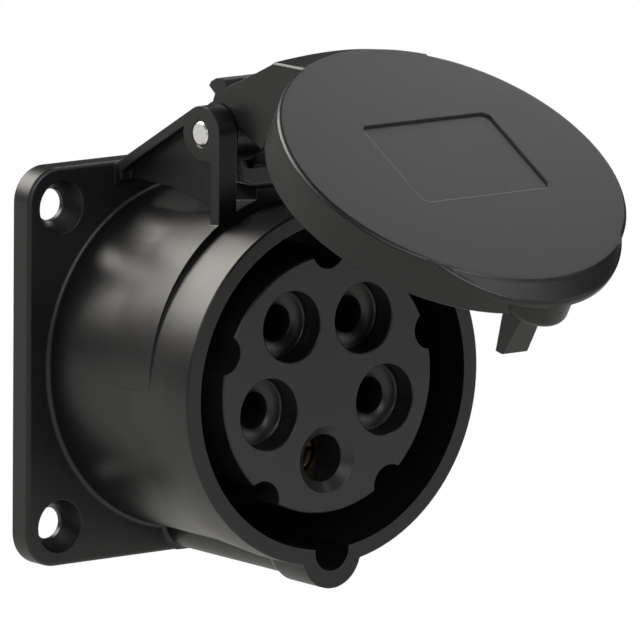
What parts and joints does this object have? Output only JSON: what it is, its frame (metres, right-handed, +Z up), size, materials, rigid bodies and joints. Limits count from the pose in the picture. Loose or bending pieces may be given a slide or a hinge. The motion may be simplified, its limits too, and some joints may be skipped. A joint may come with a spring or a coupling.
{
  "type": "industrial panel socket",
  "caption": "Round industrial power socket for a panel, with a square screw-on flange, a keyed collar round the split sleeve contacts and a sprung hinged lid",
  "frame": {"origin": "centre of the four fixing holes on the flat back face of the flange, the face that lies on the panel", "axes": "+X to the right seen from the front, +Z up with the hinge at the top, +Y into the panel; the plug goes in along +Y"},
  "size_m": [0.075, 0.1298, 0.1012],
  "materials": {
    "housing": "black moulded polyamide, fine grain, slight sheen",
    "flange_gasket": "soft black elastomer sheet",
    "contact_insert": "dark grey moulded polyamide",
    "terminal_block": "dark grey moulded polyamide",
    "contact_l1": "turned brass",
    "contact_l2": "turned brass",
    "contact_l3": "turned brass",
    "contact_n": "turned brass",
    "contact_pe": "turned brass",
    "sleeve_spring_l1": "spring steel wire",
    "sleeve_spring_l2": "spring steel wire",
    "sleeve_spring_l3": "spring steel wire",
    "sleeve_spring_n": "spring steel wire",
    "sleeve_spring_pe": "spring steel wire",
    "pin_guide_l1": "black moulded polyamide",
    "pin_guide_l2": "black moulded polyamide",
    "pin_guide_l3": "black moulded polyamide",
    "pin_guide_n": "black moulded polyamide",
    "terminal_screws": "zinc-plated steel",
    "insert_screws": "zinc-plated steel",
    "hinge_pin": "bright stainless steel",
    "lid": "black moulded polyamide, fine grain, slight sheen",
    "lid_gasket": "soft black elastomer",
    "lid_spring": "spring steel wire"
  },
  "bodies": {
    "socket": {"housing": "housing", "flange_gasket": "flange_gasket", "contact_insert": "contact_insert", "terminal_block": "terminal_block", "contact_l1": "contact_l1", "contact_l2": "contact_l2", "contact_l3": "contact_l3", "contact_n": "contact_n", "contact_pe": "contact_pe", "sleeve_spring_l1": "sleeve_spring_l1", "sleeve_spring_l2": "sleeve_spring_l2", "sleeve_spring_l3": "sleeve_spring_l3", "sleeve_spring_n": "sleeve_spring_n", "sleeve_spring_pe": "sleeve_spring_pe", "pin_guide_l1": "pin_guide_l1", "pin_guide_l2": "pin_guide_l2", "pin_guide_l3": "pin_guide_l3", "pin_guide_n": "pin_guide_n", "terminal_screws": "terminal_screws", "insert_screws": "insert_screws", "hinge_pin": "hinge_pin", "lid_spring": "lid_spring"},
    "lid": {"lid": "lid", "lid_gasket": "lid_gasket"}
  },
  "joints": [
    {"name": "lid_hinge", "type": "hinge", "parent": "socket", "child": "lid", "pos_m": [0, -0.03066, 0.0461], "axis": [-1, 0, 0], "range_deg": [-59.5, 40], "stiffness_Nm_per_rad": 0.05, "springref_deg": -137.51}
  ]
}
